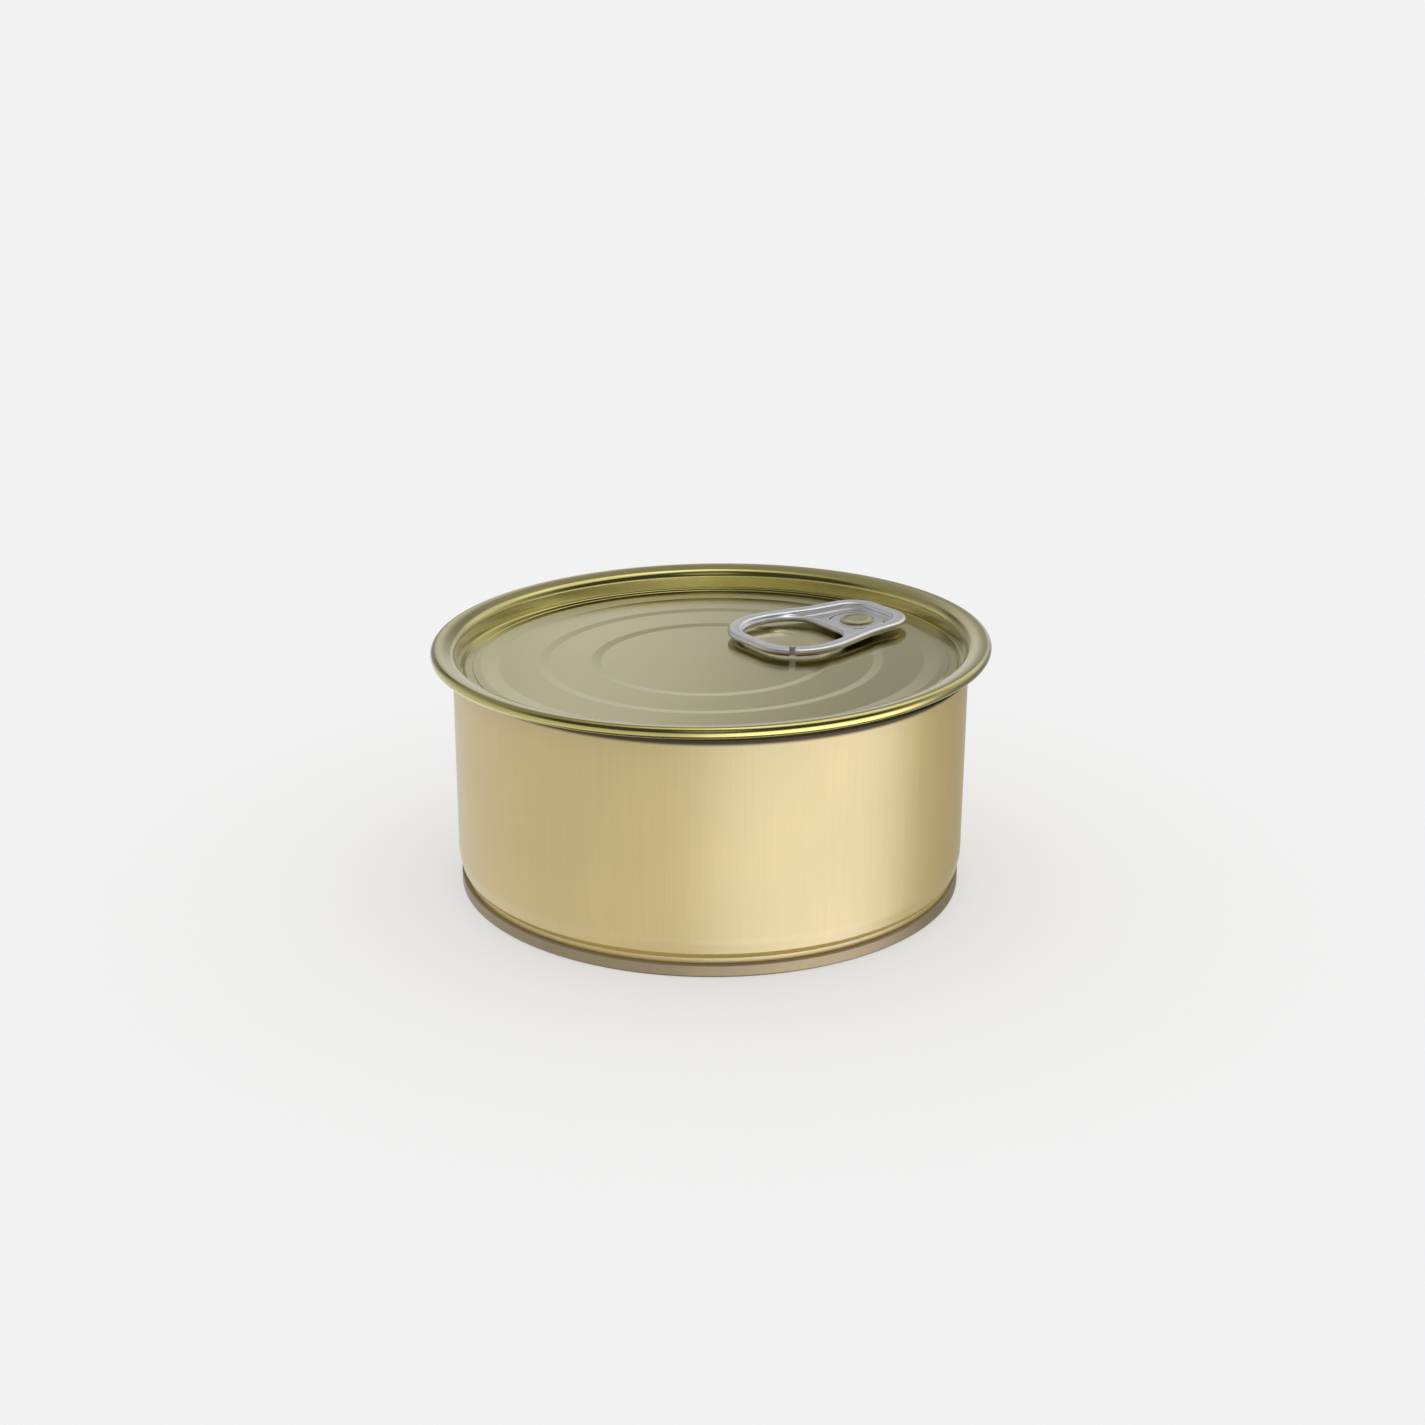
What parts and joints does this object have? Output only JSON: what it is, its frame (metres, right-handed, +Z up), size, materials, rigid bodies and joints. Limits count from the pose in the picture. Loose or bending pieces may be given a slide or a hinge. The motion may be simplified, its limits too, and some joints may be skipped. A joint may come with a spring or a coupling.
{
  "type": "tin can with easy-open lid",
  "caption": "Low round tin food can with a straight gold wall, a seamed bottom end and a loose easy-open lid with a pull tab laid on its mouth.",
  "frame": {"origin": "middle of the base, on the surface the can stands on", "axes": "+Z up along the can's axis, the pull tab on the +X, +Y side of the lid, the lid's raised side towards +X"},
  "size_m": [0.1078, 0.1078, 0.0499],
  "materials": {
    "body_lacquer": "glossy gold lacquer over finely grained tinplate",
    "lid_lacquer": "satin gold lacquer",
    "end_lacquer": "matt taupe lacquer",
    "tab_metal": "satin bare metal"
  },
  "bodies": {
    "root": {"can_body": "body_lacquer", "bottom_end": "end_lacquer", "lid": "lid_lacquer", "pull_tab": "tab_metal"}
  },
  "joints": []
}
